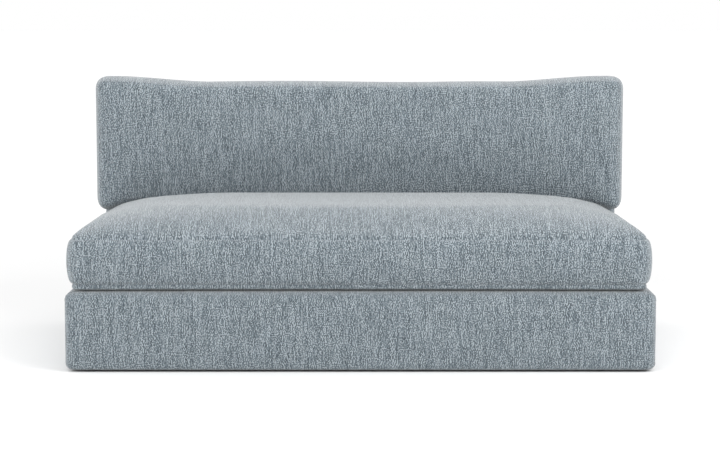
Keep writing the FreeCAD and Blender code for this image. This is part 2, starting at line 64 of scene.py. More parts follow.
# The camera stands straight in front, a little above the back, and looks slightly down.
# Its lens is long, so that the sofa's sides hardly show.
quarter_turn = math.radians(90)
camera_distance = 5.484
camera_side = -0.0012
camera_height = 1.032
camera_pitch = math.radians(6.16)
camera_lens = 92.5
camera = bpy.data.objects.new("camera", bpy.data.cameras.new("camera"))
camera.data.lens = camera_lens
camera.location = (camera_side, cad_box[0][1] - camera_distance, camera_height)
camera.rotation_euler = (quarter_turn - camera_pitch, 0, 0)
scene.collection.objects.link(camera)
scene.camera = camera

# The base frame: a box of birch plywood rails, 21 mm thick, with two stretchers and glued corner blocks.
# The back stands in it on hardwood posts with rails and braces between them. All joints are glued and
# stapled, the wood is sawn and sanded but not finished.


def add(tree, kind, inputs=None, **settings):
    """A node of a kind, with its settings, and with values or links on its inputs."""
    node = tree.nodes.new(kind)
    for name, value in settings.items():
        setattr(node, name, value)
    for socket, value in (inputs or {}).items():
        if isinstance(value, bpy.types.NodeSocket):
            tree.links.new(value, node.inputs[socket])
        else:
            node.inputs[socket].default_value = value
    return node


def sum_up(tree, operation, *values):
    """The result of a sum on one, two or three values."""
    node = add(tree, "ShaderNodeMath", dict(enumerate(values)), operation=operation)
    return node.outputs[0]


def ranged(tree, value, low=0.0, high=1.0, new_low=0.0, new_high=1.0):
    """A value moved from one range to another, and held inside it."""
    inputs = {"Value": value, "From Min": low, "From Max": high, "To Min": new_low, "To Max": new_high}
    return add(tree, "ShaderNodeMapRange", inputs, clamp=True).outputs[0]


def own_place(tree):
    """The place on a piece, in the sofa's own frame."""
    return add(tree, "ShaderNodeTexCoord").outputs["Object"]


def blended(tree, share, first, second, kind="MIX"):
    """A colour between two others."""
    inputs = {"Factor": share, "A": first, "B": second}
    node = tree.nodes.new("ShaderNodeMix")
    node.data_type = "RGBA"
    node.blend_type = kind
    for name, value in inputs.items():
        socket = [s for s in node.inputs if s.name == name and s.enabled][0]
        if isinstance(value, bpy.types.NodeSocket):
            tree.links.new(value, socket)
        else:
            socket.default_value = value
    return [s for s in node.outputs if s.enabled][0]


def new_group(name, inputs, outputs):
    """A node group with named sockets; gives its tree and the inputs' sockets."""
    tree = bpy.data.node_groups.new(name, "ShaderNodeTree")
    for label, (kind, value) in inputs.items():
        socket = tree.interface.new_socket(label, in_out="INPUT", socket_type=kind)
        if value is not None:
            socket.default_value = value
    for label, kind in outputs.items():
        tree.interface.new_socket(label, in_out="OUTPUT", socket_type=kind)
    ins = tree.nodes.new("NodeGroupInput").outputs
    return tree, ins


VALUE, COLOUR, PLACE = "NodeSocketFloat", "NodeSocketColor", "NodeSocketVector"


def new_material(name, roughness, **constants):
    """A material with its shader's constants set; gives the material, its tree and the shader."""
    material = bpy.data.materials.new(name)
    material.use_nodes = True
    tree = material.node_tree
    shader = tree.nodes["Principled BSDF"]
    shader.inputs["Roughness"].default_value = roughness
    for label, value in constants.items():
        shader.inputs[label.replace("_", " ")].default_value = value
    return material, tree, shader


def raise_surface(tree, shader, height, distance, strength=1.0):
    """Bump from a height on a material's shader."""
    bump = add(tree, "ShaderNodeBump", {"Height": height, "Distance": distance, "Strength": strength})
    tree.links.new(bump.outputs[0], shader.inputs["Normal"])


def dress(material, *names):
    """Give a material to nodes that keep their shape."""
    for name in names:
        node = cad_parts[name]
        node.data.materials.clear()
        node.data.materials.append(material)


sawn_wood, ins = new_group(
    "sawn wood",
    {
        "Place": (PLACE, None),
        "Ring width": (VALUE, 0.009),
        "Early wood": (COLOUR, (0.6, 0.44, 0.28, 1)),
        "Late wood": (COLOUR, (0.42, 0.27, 0.15, 1)),
    },
    {"Colour": COLOUR, "Height": VALUE},
)
grain_stretch = (2.5, 30.0, 30.0)
drawn = add(sawn_wood, "ShaderNodeVectorMath", {0: ins["Place"], 1: grain_stretch}, operation="MULTIPLY")
sweep = add(sawn_wood, "ShaderNodeTexNoise", {"Vector": drawn.outputs[0], "Scale": 0.5, "Detail": 3.0})
place = add(sawn_wood, "ShaderNodeSeparateXYZ", {"Vector": ins["Place"]})
depth = sum_up(sawn_wood, "MULTIPLY_ADD", place.outputs[2], 0.35, place.outputs[1])
depth = sum_up(sawn_wood, "MULTIPLY_ADD", sweep.outputs[0], 0.05, depth)
ring = sum_up(sawn_wood, "FRACT", sum_up(sawn_wood, "DIVIDE", depth, ins["Ring width"]))
streak = add(sawn_wood, "ShaderNodeTexNoise", {"Vector": drawn.outputs[0], "Scale": 9.0, "Detail": 5.0,
                                               "Roughness": 0.65})
share = sum_up(sawn_wood, "MULTIPLY", sum_up(sawn_wood, "POWER", ring, 2.5), 0.6)
share = sum_up(sawn_wood, "MULTIPLY_ADD", streak.outputs[0], 0.8, share)
share = sum_up(sawn_wood, "SUBTRACT", share, 0.25)
share = add(sawn_wood, "ShaderNodeClamp", {"Value": share}).outputs[0]
add(sawn_wood, "NodeGroupOutput", {
    "Colour": blended(sawn_wood, share, ins["Early wood"], ins["Late wood"]),
    "Height": sum_up(sawn_wood, "SUBTRACT", 1.0, share),
})


def wood_place(tree, turn):
    """The place on a board, turned so that its grain runs along the first axis."""
    return add(tree, "ShaderNodeMapping", {"Vector": own_place(tree), "Rotation": turn}).outputs[0]


def wood(name, turn, ring, early, late):
    """A planed board's material; the turn lays its grain."""
    material, tree, shader = new_material(name, 0.62, Specular_IOR_Level=0.35)
    grain = add(tree, "ShaderNodeGroup", {
        "Place": wood_place(tree, turn),
        "Ring width": ring,
        "Early wood": (*early, 1),
        "Late wood": (*late, 1),
    }, node_tree=sawn_wood)
    return material, tree, shader, grain


ply_thickness = 0.0015
for name, turn, facing, nodes in (
        ("plywood_across", (0, 0, 0), 1, ("front_rail", "rear_rail", "spring_rail", "corner_blocks")),
        ("plywood_along", (0, 0, quarter_turn), 0, ("left_rail", "right_rail", "cross_stretchers"))):
    plywood, tree, shader, grain = wood(name, turn, 0.022, (0.67, 0.53, 0.36), (0.55, 0.41, 0.26))
    normal = add(tree, "ShaderNodeNewGeometry").outputs["Normal"]
    normal = add(tree, "ShaderNodeSeparateXYZ", {"Vector": normal})
    on_edge = sum_up(tree, "LESS_THAN", sum_up(tree, "ABSOLUTE", normal.outputs[facing]), 0.5)
    spot = add(tree, "ShaderNodeSeparateXYZ", {"Vector": own_place(tree)})
    layer = sum_up(tree, "DIVIDE", spot.outputs[facing], 2 * ply_thickness)
    layer = sum_up(tree, "PINGPONG", layer, 0.5)
    layer = ranged(tree, layer, 0.2, 0.3)
    plies = blended(tree, layer, (0.34, 0.22, 0.12, 1), (0.62, 0.47, 0.3, 1))
    edge = blended(tree, 0.5, plies, grain.outputs["Colour"], "MULTIPLY")
    tree.links.new(blended(tree, on_edge, grain.outputs["Colour"], edge), shader.inputs["Base Color"])
    raise_surface(tree, shader, grain.outputs["Height"], 0.0002, 0.5)
    dress(plywood, *nodes)

for name, turn, nodes in (
        ("hardwood_across", (0, 0, 0), ("back_top_rail", "back_bottom_rail")),
        ("hardwood_upright", (0, quarter_turn, 0), ("left_back_post", "right_back_post", "back_braces"))):
    hardwood, tree, shader, grain = wood(name, turn, 0.007, (0.58, 0.4, 0.24), (0.4, 0.25, 0.14))
    tree.links.new(grain.outputs["Colour"], shader.inputs["Base Color"])
    raise_surface(tree, shader, grain.outputs["Height"], 0.0003, 0.5)
    dress(hardwood, *nodes)

# Glides: six turned feet of black nylon, nailed under the corner blocks and stretchers. The whole
# sofa stands on them, so their soles are scuffed.
nylon, tree, shader = new_material("glide_nylon", 0.45, Specular_IOR_Level=0.4)
spot = own_place(tree)
scuff = add(tree, "ShaderNodeTexNoise", {"Vector": spot, "Scale": 420.0, "Detail": 4.0, "Roughness": 0.7})
tree.links.new(blended(tree, scuff.outputs[0], (0.012, 0.012, 0.013, 1), (0.06, 0.06, 0.062, 1)),
               shader.inputs["Base Color"])
rough = ranged(tree, scuff.outputs[0], new_low=0.3, new_high=0.7)
tree.links.new(rough, shader.inputs["Roughness"])
raise_surface(tree, shader, scuff.outputs[0], 0.0001, 0.6)
dress(nylon, "glides")

# Suspension: zigzag springs of black lacquered wire, held on the rails by bright pressed clips, with
# two wires tied across them. Coach screws, zinc plated, hold the back posts in the base.
worn_metal, ins = new_group(
    "worn metal",
    {
        "Place": (PLACE, None),
        "Metal": (COLOUR, (0.5, 0.5, 0.5, 1)),
        "Tarnish": (COLOUR, (0.3, 0.3, 0.3, 1)),
        "Grain": (VALUE, 300.0),
        "Smooth": (VALUE, 0.3),
        "Rough": (VALUE, 0.5),
    },
    {"Colour": COLOUR, "Roughness": VALUE, "Height": VALUE},
)
patch = add(worn_metal, "ShaderNodeTexNoise", {"Vector": ins["Place"], "Scale": ins["Grain"],
                                               "Detail": 4.0, "Roughness": 0.6}).outputs[0]
share = ranged(worn_metal, patch, 0.35, 0.7)
add(worn_metal, "NodeGroupOutput", {
    "Colour": blended(worn_metal, share, ins["Metal"], ins["Tarnish"]),
    "Roughness": ranged(worn_metal, patch, 0.3, 0.7, ins["Smooth"], ins["Rough"]),
    "Height": patch,
})


def metal(name, bare, tarnish, grain, smooth_to, rough_to, metallic, *nodes):
    """A metal's material, given to nodes that keep their shape."""
    material, tree, shader = new_material(name, rough_to, Metallic=metallic)
    finish = add(tree, "ShaderNodeGroup", {
        "Place": own_place(tree),
        "Metal": (*bare, 1),
        "Tarnish": (*tarnish, 1),
        "Grain": grain,
        "Smooth": smooth_to,
        "Rough": rough_to,
    }, node_tree=worn_metal)
    tree.links.new(finish.outputs["Colour"], shader.inputs["Base Color"])
    tree.links.new(finish.outputs["Roughness"], shader.inputs["Roughness"])
    raise_surface(tree, shader, finish.outputs["Height"], 0.00008, 0.5)
    dress(material, *nodes)
    return material


metal("spring_lacquer", (0.016, 0.016, 0.018), (0.05, 0.042, 0.035), 260.0, 0.28, 0.5, 0.35,
      "seat_springs", "tie_wires")
metal("clip_steel", (0.62, 0.62, 0.6), (0.4, 0.4, 0.39), 500.0, 0.22, 0.42, 1.0, "spring_clips")
metal("screw_zinc", (0.66, 0.62, 0.5), (0.42, 0.38, 0.26), 700.0, 0.25, 0.45, 1.0, "back_screws")

# Soft layers over the springs and in the back: a needled felt insulator, white wadding on the rails
# and round the foam, and a brown fibreboard that closes the back of the frame behind its webbing.
matted_fibres, ins = new_group(
    "matted fibres",
    {
        "Place": (PLACE, None),
        "Fibre scale": (VALUE, 400.0),
        "Ground": (COLOUR, (0.4, 0.4, 0.4, 1)),
        "Fibre": (COLOUR, (0.6, 0.6, 0.6, 1)),
        "Fleck": (COLOUR, (0.2, 0.2, 0.2, 1)),
        "Flecks": (VALUE, 0.3),
    },
    {"Colour": COLOUR, "Height": VALUE},
)
bent = add(matted_fibres, "ShaderNodeTexNoise", {"Vector": ins["Place"], "Scale": ins["Fibre scale"],
                                                 "Detail": 5.0, "Roughness": 0.7, "Distortion": 2.5})
clump = add(matted_fibres, "ShaderNodeTexNoise", {"Vector": ins["Place"], "Scale": 45.0, "Detail": 3.0})
share = sum_up(matted_fibres, "MULTIPLY_ADD", clump.outputs[0], 0.5, bent.outputs[0])
share = ranged(matted_fibres, share, 0.55, 0.95)
speck = add(matted_fibres, "ShaderNodeTexVoronoi", {"Vector": ins["Place"], "Scale": ins["Fibre scale"]})
speck = sum_up(matted_fibres, "LESS_THAN", speck.outputs["Distance"], sum_up(
    matted_fibres, "MULTIPLY", ins["Flecks"], clump.outputs[0]))
matted = blended(matted_fibres, share, ins["Ground"], ins["Fibre"])
add(matted_fibres, "NodeGroupOutput", {
    "Colour": blended(matted_fibres, speck, matted, ins["Fleck"]),
    "Height": share,
})


def fibrous(name, scale, ground, fibre, fleck, flecks, depth):
    """A material of matted fibres."""
    material, tree, shader = new_material(name, 0.95, Sheen_Weight=0.2, Specular_IOR_Level=0.2)
    mat = add(tree, "ShaderNodeGroup", {
        "Place": own_place(tree),
        "Fibre scale": scale,
        "Ground": (*ground, 1),
        "Fibre": (*fibre, 1),
        "Fleck": (*fleck, 1),
        "Flecks": flecks,
    }, node_tree=matted_fibres)
    tree.links.new(mat.outputs["Colour"], shader.inputs["Base Color"])
    raise_surface(tree, shader, mat.outputs["Height"], depth, 0.8)
    return material


felt = fibrous("insulator_felt", 260.0, (0.2, 0.19, 0.18), (0.42, 0.41, 0.39), (0.1, 0.16, 0.3),
               0.45, 0.0008)
board = fibrous("backing_board", 700.0, (0.33, 0.23, 0.14), (0.46, 0.34, 0.22), (0.2, 0.13, 0.07),
                0.3, 0.0002)
wadding = fibrous("wadding", 180.0, (0.74, 0.74, 0.72), (0.9, 0.9, 0.88), (0.82, 0.82, 0.8),
                  0.2, 0.0015)
dress(felt, "spring_insulator")
dress(board, "outside_back_board")
dress(wadding, "front_pad", "left_pad", "right_pad", "deck_pad", "inside_back_pad", "back_top_pad",
      "left_back_end_pad", "right_back_end_pad", "seat_fibre_wrap", "back_fibre_wrap")

# Elastic webbing of the back: black rubber-cored tape, basket woven, stapled to the rails and posts.
# It is the first of the woven stuffs. All of them are yarns of three shades, crossed by picks.
weave, ins = new_group(
    "woven yarns",
    {
        "Place": (PLACE, None),
        "Yarn": (VALUE, 0.0024),
        "Pick": (VALUE, 0.0034),
        "Fleck length": (VALUE, 0.015),
        "Dark yarn": (COLOUR, (0.05, 0.06, 0.07, 1)),
        "Main yarn": (COLOUR, (0.2, 0.23, 0.25, 1)),
        "Light yarn": (COLOUR, (0.5, 0.55, 0.58, 1)),
        "Melange": (VALUE, 1.0),
    },
    {"Colour": COLOUR, "Height": VALUE},
)
wander = add(weave, "ShaderNodeTexNoise", {"Vector": ins["Place"], "Scale": 40.0, "Detail": 2.0})
wander_along = sum_up(weave, "MULTIPLY_ADD", wander.outputs[0], 0.002, -0.001)
place = add(weave, "ShaderNodeSeparateXYZ", {"Vector": ins["Place"]})
across = sum_up(weave, "ADD", place.outputs[0], wander_along)
yarn_count = sum_up(weave, "DIVIDE", across, ins["Yarn"])
yarn = sum_up(weave, "FLOOR", yarn_count)
odd = sum_up(weave, "MULTIPLY", sum_up(weave, "MODULO", yarn, 2.0), 0.5)
pick_count = sum_up(weave, "ADD", sum_up(weave, "DIVIDE", place.outputs[1], ins["Pick"]), odd)
pick = sum_up(weave, "FLOOR", pick_count)


def dice(tree, first, second, third):
    """A random value that stays the same over one cell."""
    cell = add(tree, "ShaderNodeCombineXYZ", {0: first, 1: second, 2: third})
    found = add(tree, "ShaderNodeTexWhiteNoise", {"Vector": cell.outputs[0]}, noise_dimensions="3D")
    return found.outputs[0]


stitch = dice(weave, yarn, pick, 1.0)
beside = sum_up(weave, "ADD", dice(weave, sum_up(weave, "ADD", yarn, 1.0), pick, 1.0),
                dice(weave, sum_up(weave, "SUBTRACT", yarn, 1.0), pick, 1.0))
stitch = sum_up(weave, "MULTIPLY_ADD", beside, -0.4, stitch)
yarn_start = sum_up(weave, "MULTIPLY", dice(weave, yarn, 0.0, 2.0), 9.0)
fleck_count = sum_up(weave, "DIVIDE", place.outputs[1], ins["Fleck length"])
fleck_row = sum_up(weave, "FLOOR", sum_up(weave, "ADD", fleck_count, yarn_start))
fleck = dice(weave, yarn, fleck_row, 3.0)
streak_count = sum_up(weave, "MULTIPLY_ADD", fleck_count, 0.3, yarn_start)
streak = dice(weave, yarn, sum_up(weave, "FLOOR", streak_count), 4.0)
slub_place = add(weave, "ShaderNodeCombineXYZ", {
    0: sum_up(weave, "MULTIPLY", across, 260.0),
    1: sum_up(weave, "MULTIPLY", place.outputs[1], 75.0),
})
slub = add(weave, "ShaderNodeTexNoise", {"Vector": slub_place.outputs[0], "Scale": 1.0, "Detail": 1.5},
           noise_dimensions="2D")
mixed = -0.28
for shade, weight in ((stitch, 0.6), (fleck, 0.2), (streak, 0.19), (slub.outputs[0], 0.05)):
    mixed = sum_up(weave, "MULTIPLY_ADD", shade, weight, mixed)
tone = sum_up(weave, "MULTIPLY_ADD", mixed, ins["Melange"], 0.5)
colour = blended(weave, ranged(weave, tone, 0.5, 0.0), ins["Main yarn"], ins["Dark yarn"])
colour = blended(weave, ranged(weave, tone, 0.5, 1.0), colour, ins["Light yarn"])
side_way = sum_up(weave, "SUBTRACT", sum_up(weave, "FRACT", yarn_count), 0.5)
long_way = sum_up(weave, "SUBTRACT", sum_up(weave, "FRACT", pick_count), 0.5)
round_side = sum_up(weave, "MULTIPLY_ADD", sum_up(weave, "MULTIPLY", side_way, side_way), -4.0, 1.0)
round_long = sum_up(weave, "MULTIPLY_ADD", sum_up(weave, "POWER", long_way, 2.0), -3.2, 1.0)
dome = sum_up(weave, "MULTIPLY", round_side, round_long)
fuzz = add(weave, "ShaderNodeTexNoise", {"Vector": ins["Place"], "Scale": 900.0, "Detail": 2.0})
height = sum_up(weave, "MULTIPLY_ADD", fuzz.outputs[0], 0.35, dome)
height = sum_up(weave, "MULTIPLY_ADD", mixed, 0.5, height)
# Painted shade: the colour is darkened in the hollows between the yarns' domes, where shade falls between
# them.
painted_crevice_shade = ranged(weave, dome, 0.0, 0.55, 0.72, 1.0)
deep = add(weave, "ShaderNodeCombineColor", {n: painted_crevice_shade for n in range(3)})
colour = blended(weave, 1.0, colour, deep.outputs[0], "MULTIPLY")
add(weave, "NodeGroupOutput", {"Colour": colour, "Height": height})

webbing, tree, shader = new_material("webbing", 0.8, Sheen_Weight=0.15, Specular_IOR_Level=0.3)
tape_weave = add(tree, "ShaderNodeGroup", {
    "Place": wood_place(tree, (quarter_turn, 0, 0)),
    "Yarn": 0.0012,
    "Pick": 0.0016,
    "Fleck length": 0.01,
    "Dark yarn": (0.012, 0.012, 0.013, 1),
    "Main yarn": (0.03, 0.03, 0.032, 1),
    "Light yarn": (0.09, 0.09, 0.095, 1),
    "Melange": 0.7,
}, node_tree=weave)
tree.links.new(tape_weave.outputs["Colour"], shader.inputs["Base Color"])
raise_surface(tree, shader, tape_weave.outputs["Height"], 0.0003, 0.8)
dress(webbing, "back_webbing")

# The cover cloth of the whole sofa: a chunky blue-grey melange, woven from thick soft yarns of
# several shades. Warp yarns run upright on every face and from front to back on level ones.


def woven_cloth(name, roughness, sheen, yarn, pick, fleck, dark, main, light, melange):
    """A material of woven yarns, laid by the piece's own grain."""
    material, tree, shader = new_material(name, roughness, Sheen_Weight=sheen, Sheen_Roughness=0.45,
                                          Specular_IOR_Level=0.25)
    grain = add(tree, "ShaderNodeUVMap", uv_map="grain")
    cloth = add(tree, "ShaderNodeGroup", {
        "Place": grain.outputs[0],
        "Yarn": yarn,
        "Pick": pick,
        "Fleck length": fleck,
        "Dark yarn": (*dark, 1),
        "Main yarn": (*main, 1),
        "Light yarn": (*light, 1),
        "Melange": melange,
    }, node_tree=weave)
    return material, tree, shader, cloth


cover_cloth, tree, shader, cloth = woven_cloth(
    "cover_cloth", 0.92, 0.5, 0.0028, 0.0034, 0.017,
    (0.051, 0.068, 0.081), (0.142, 0.174, 0.196), (0.355, 0.4, 0.427), 1.75)
# Slow drifts of shade, as the dye and the nap vary over a length of cloth.
drift = add(tree, "ShaderNodeTexNoise", {"Scale": 9.0, "Detail": 2.0, "Roughness": 0.6})
tree.links.new(tree.nodes["UV Map"].outputs[0], drift.inputs["Vector"])
tint = blended(tree, drift.outputs[0], (0.985, 0.99, 1.01, 1), (1.015, 1.01, 0.99, 1))
dyed = blended(tree, 1.0, cloth.outputs["Colour"], tint, "MULTIPLY")
tree.links.new(dyed, shader.inputs["Base Color"])
raise_surface(tree, shader, cloth.outputs["Height"], 0.0007, 0.8)


def span(*names):
    """Lowest and highest corner of several CAD nodes together."""
    corners = [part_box(name) for name in names]
    low = Vector([min(c[0][n] for c in corners) for n in range(3)])
    high = Vector([max(c[1][n] for c in corners) for n in range(3)])
    return low, high


def cut_block(low, high, spacing):
    """A closed box of cloth, ruled into small squares, before it is sewn and filled."""
    block = bmesh.new()
    bmesh.ops.create_cube(block, size=1)
    size = high - low
    bmesh.ops.scale(block, vec=size, verts=block.verts)
    bmesh.ops.translate(block, vec=(low + high) / 2, verts=block.verts)
    for axis in range(3):
        along = [e for e in block.edges if abs((e.verts[0].co - e.verts[1].co)[axis]) > size[axis] / 2]
        cuts = max(1, round(size[axis] / spacing) - 1)
        bmesh.ops.subdivide_edges(block, edges=along, cuts=cuts, use_grid_fill=True)
    return block


def lay_grain(block, low, high, top_start=0.0):
    """Lay the cloth's grain on each panel: upright on the sides, front to back on level panels."""
    grain = block.loops.layers.uv.new("grain")
    width, depth = high.x - low.x, high.y - low.y
    for face in block.faces:
        normal = face.normal
        for loop in face.loops:
            x, y, z = loop.vert.co
            if abs(normal.z) > 0.7:
                loop[grain].uv = (x, y + math.copysign(top_start, normal.z))
            elif normal.y < -0.7:
                loop[grain].uv = (x, z)
            elif normal.y > 0.7:
                loop[grain].uv = (width + depth - x, z)
            else:
                loop[grain].uv = (math.copysign(width / 2 + y - low.y, normal.x), z)


def rounded_plan(x, y, half, front, rear, radius):
    """Move a place on a square plan to a plan with round corners."""
    inner_x = math.copysign(max(0.0, abs(x) - (half - radius)), x)
    inner_y = min(0.0, y - (front + radius)) + max(0.0, y - (rear - radius))
    ring = max(abs(inner_x), abs(inner_y))
    reach = math.hypot(inner_x, inner_y)
    if reach < 1e-9:
        return x, y, 0.0, 0.0
    share = ring / reach
    return (x - inner_x + inner_x * share, y - inner_y + inner_y * share,
            inner_x / reach, inner_y / reach)


def finish_piece(block, name, material, body, *replaced, slot="upholstery_fabric"):
    """Make a mesh into a smooth-shaded piece that rides on a body and stands for CAD nodes."""
    bmesh.ops.recalc_face_normals(block, faces=block.faces)
    mesh = bpy.data.meshes.new(name)
    block.to_mesh(mesh)
    block.free()
    mesh.shade_smooth()
    mesh.materials.append(material)
    piece = bpy.data.objects.new(name, mesh)
    scene.collection.objects.link(piece)
    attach(piece, body)
    if replaced:
        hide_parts(*replaced)
    return piece


def filled_out(block, pressure, frames, most, held):
    """Let the filling press the cloth outwards for a few frames, apart from its held vertices.

    No point moves more than the most.
    """
    mesh = bpy.data.meshes.new("filling")
    block.to_mesh(mesh)
    body = bpy.data.objects.new("filling", mesh)
    scene.collection.objects.link(body)
    cloth_settings = body.modifiers.new("cloth", "CLOTH").settings
    cloth_settings.quality = 5
    cloth_settings.time_scale = 2.0
    cloth_settings.effector_weights.gravity = 0
    cloth_settings.use_pressure = True
    cloth_settings.uniform_pressure_force = pressure
    pins = body.vertex_groups.new(name="held")
    pins.add(held, 1.0, "REPLACE")
    cloth_settings.vertex_group_mass = "held"
    for number in range(1, frames + 1):
        scene.frame_set(number)
    view = body.evaluated_get(bpy.context.evaluated_depsgraph_get())
    block.verts.ensure_lookup_table()
    for vertex, after in zip(block.verts, view.data.vertices):
        move = after.co - vertex.co
        vertex.co += move * min(1.0, most / max(move.length, 1e-9))
    scene.frame_set(1)
    bpy.data.objects.remove(body)
    bpy.data.meshes.remove(mesh)


def sew(block, edges, width, depth):
    """Turn edges into a sewn seam: a narrow valley between two soft shoulders."""
    done = bmesh.ops.bevel(block, geom=edges, offset=width, offset_type="OFFSET", segments=2,
                           profile=0.5, affect="EDGES", material=-1, clamp_overlap=True)
    strip = set(done["faces"])
    block.normal_update()
    middle = [v for v in done["verts"] if all(f in strip for f in v.link_faces)]
    moves = [(v, v.normal.copy()) for v in middle]
    for vertex, normal in moves:
        vertex.co -= normal * depth


def seam_edges(block, layer):
    """The edges where two panels meet, going by the panel numbers in a layer."""
    return [e for e in block.edges if len(e.link_faces) == 2
            and e.link_faces[0][layer] != e.link_faces[1][layer]]


def ripple(block, size, reach, near, seed):
    """Small puckers that fade out away from a seam."""
    block.normal_update()
    for vertex in block.verts:
        away = near(vertex.co)
        if away < reach:
            fade = (1 - away / reach) ** 2
            wave = noise.noise(vertex.co * 38 + Vector((seed, 0, 0)))
            vertex.co += vertex.normal * size * fade * wave


# The base's cover: a front piece that turns both front corners, and two end pieces. They are pulled
# tight over wadding on a plywood box, turned in over its top edge and under its bottom edge.
base_low, base_high = span("base_front_cover", "base_left_cover", "base_right_cover")
base_radius = 0.025
base_spacing = 0.0125
base_seam_y = -0.468
base_grain_start = 0.05
base_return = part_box("deck_cloth")
turn_under = 0.042
cover_thickness = 0.0015
base = cut_block(base_low, base_high, base_spacing)
lay_grain(base, base_low, base_high, base_grain_start)
panel = base.faces.layers.int.new("panel")
outside = []
for face in base.faces:
    place = face.calc_center_median()
    on_deck = abs(place.x) < base_return[1].x and place.y > base_return[0].y
    far_under = abs(place.x) < base_high.x - turn_under and place.y > base_low.y + turn_under
    if face.normal.y > 0.5 or (face.normal.z > 0.5 and on_deck) or (face.normal.z < -0.5 and far_under):
        outside.append(face)
    in_front = place.y < base_seam_y or (face.normal.z > 0.5 and abs(place.x) < base_return[1].x)
    face[panel] = 0 if in_front else 1
bmesh.ops.delete(base, geom=outside, context="FACES")


def soften(block, low, high, radius):
    """Round the edges of a ruled box to a radius, apart from the lowest ones, which stay square."""
    inner_low = low + Vector((radius, radius, -1))
    inner_high = high - Vector((radius, radius, radius))
    for vertex in block.verts:
        held = Vector([min(max(vertex.co[n], inner_low[n]), inner_high[n]) for n in range(3)])
        away = vertex.co - held
        if away.length > 1e-9:
            vertex.co = held + away.normalized() * max(abs(n) for n in away)


square_rear = Vector((0, 0.1, 0))
soften(base, base_low, base_high + square_rear, base_radius)
base_foot = 0.008
base_foot_front = 0.002
base_press = 0.0075
base_press_height = 0.03
base_press_width = 0.07
base_rim = 0.02
tight_pressure = 0.25
tight_frames = 6
tight_seam = 0.003, 0.0022
for vertex in base.verts:
    if vertex.co.z < base_low.z + 0.001:
        vertex.co.x *= 1 - base_foot / base_high.x
        vertex.co.y *= 1 - base_foot_front / abs(base_low.y)
    inset = min(base_high.x - abs(vertex.co.x), vertex.co.y - base_low.y)
    near_top = 1 - min(1.0, (base_high.z - vertex.co.z) / base_press_height)
    vertex.co.z -= base_press * near_top * (1 - min(1.0, inset / base_press_width))
rim = [v.index for v in base.verts
       if v.is_boundary or v.co.z < base_low.z + base_rim or v.co.z > base_high.z - base_rim]
base.verts.index_update()
filled_out(base, tight_pressure, tight_frames, 0.0035, rim)
sew(base, seam_edges(base, panel), *tight_seam)
base_cover = finish_piece(base, "base_cover", cover_cloth, "sofa_frame",
                          "base_front_cover", "base_left_cover", "base_right_cover",
                          "front_pad", "left_pad", "right_pad")
thick = base_cover.modifiers.new("thickness", "SOLIDIFY")
thick.thickness = cover_thickness
thick.offset = -1


def smooth(piece):
    """One level of subdivision, the same in a view and in a render."""
    surface = piece.modifiers.new("smooth", "SUBSURF")
    surface.levels = 1
    surface.render_levels = 1


smooth(base_cover)

# The deck: a cotton pad over the springs, with a plain dull cloth sewn on top where the cushion lies.
# It dips a little in the middle, where people sit.
deck_low, deck_high = span("deck_cloth", "deck_pad")
deck_spacing = 0.02
deck_dip = 0.005
deck_dip_reach = 0.35
deck_lap = 0.004
deck_edge_drop = 0.0035
deck_bulge = 0.003
deck_bulge_reach = 0.03
deck_wave = 0.0008
deck_cloth, tree, shader, cloth = woven_cloth(
    "deck_twill", 0.85, 0.1, 0.0007, 0.0011, 0.006,
    (0.10, 0.11, 0.12), (0.16, 0.175, 0.19), (0.23, 0.245, 0.26), 0.8)
tree.links.new(cloth.outputs["Colour"], shader.inputs["Base Color"])
raise_surface(tree, shader, cloth.outputs["Height"], 0.0002, 0.7)


def eased(share):
    """From 0 to 1 with soft starts and ends."""
    share = min(1.0, max(0.0, share))
    return share * share * (3 - 2 * share)


def rolled(away, reach, power=0.72):
    """A quarter round: how high a panel has risen at a distance from its seam."""
    share = min(1.0, max(0.0, away / reach))
    return (1 - (1 - share) ** 2) ** power


lap = Vector((deck_lap, deck_lap, 0))
deck = cut_block(deck_low - lap, deck_high + Vector((deck_lap, -0.001, 0)), deck_spacing)
lay_grain(deck, deck_low, deck_high)
for vertex in deck.verts:
    if vertex.co.z > deck_high.z - 0.001:
        edge = min(deck_high.x - abs(vertex.co.x), vertex.co.y - deck_low.y, deck_high.y - vertex.co.y)
        bulge = rolled(edge, deck_bulge_reach)
        dip = eased(edge / deck_dip_reach)
        wave = noise.noise(vertex.co * 6)
        vertex.co.z -= deck_edge_drop - deck_bulge * bulge + deck_dip * dip + deck_wave * bulge * wave
deck_platform = finish_piece(deck, "deck_platform", deck_cloth, "sofa_frame", "deck_cloth", "deck_pad",
                             slot="deck_cloth")
smooth(deck_platform)

# The back's cover: one piece over the inside face and the top, and an end piece on each side, over
# wadding on posts and rails. The outside back is a flat panel, blind-sewn on last, down to the floor.
back_low, back_high = span("inside_back_cover", "left_back_end_cover", "right_back_end_cover")
back_radius = 0.023
back_seam_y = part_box("left_back_end_cover")[0].y
back_seam_drop = 0.02
back_grain_start = 0.03
frame_back = cut_block(back_low, back_high, base_spacing)
lay_grain(frame_back, back_low, back_high, back_grain_start)
panel = frame_back.faces.layers.int.new("panel")
for face in frame_back.faces:
    place = face.calc_center_median()
    below_top = place.z < back_high.z - back_seam_drop
    face[panel] = 1 if abs(face.normal.x) > 0.5 and place.y > back_seam_y and below_top else 0
soften(frame_back, back_low, back_high + square_rear, back_radius)
back_rim = [v.index for v in frame_back.verts
            if v.co.z < back_low.z + 0.001 or v.co.y > back_high.y - 0.001]
filled_out(frame_back, tight_pressure, tight_frames, 0.003, back_rim)
sew(frame_back, seam_edges(frame_back, panel), *tight_seam)
for vertex in frame_back.verts:
    vertex.co.y = max(vertex.co.y, back_low.y)
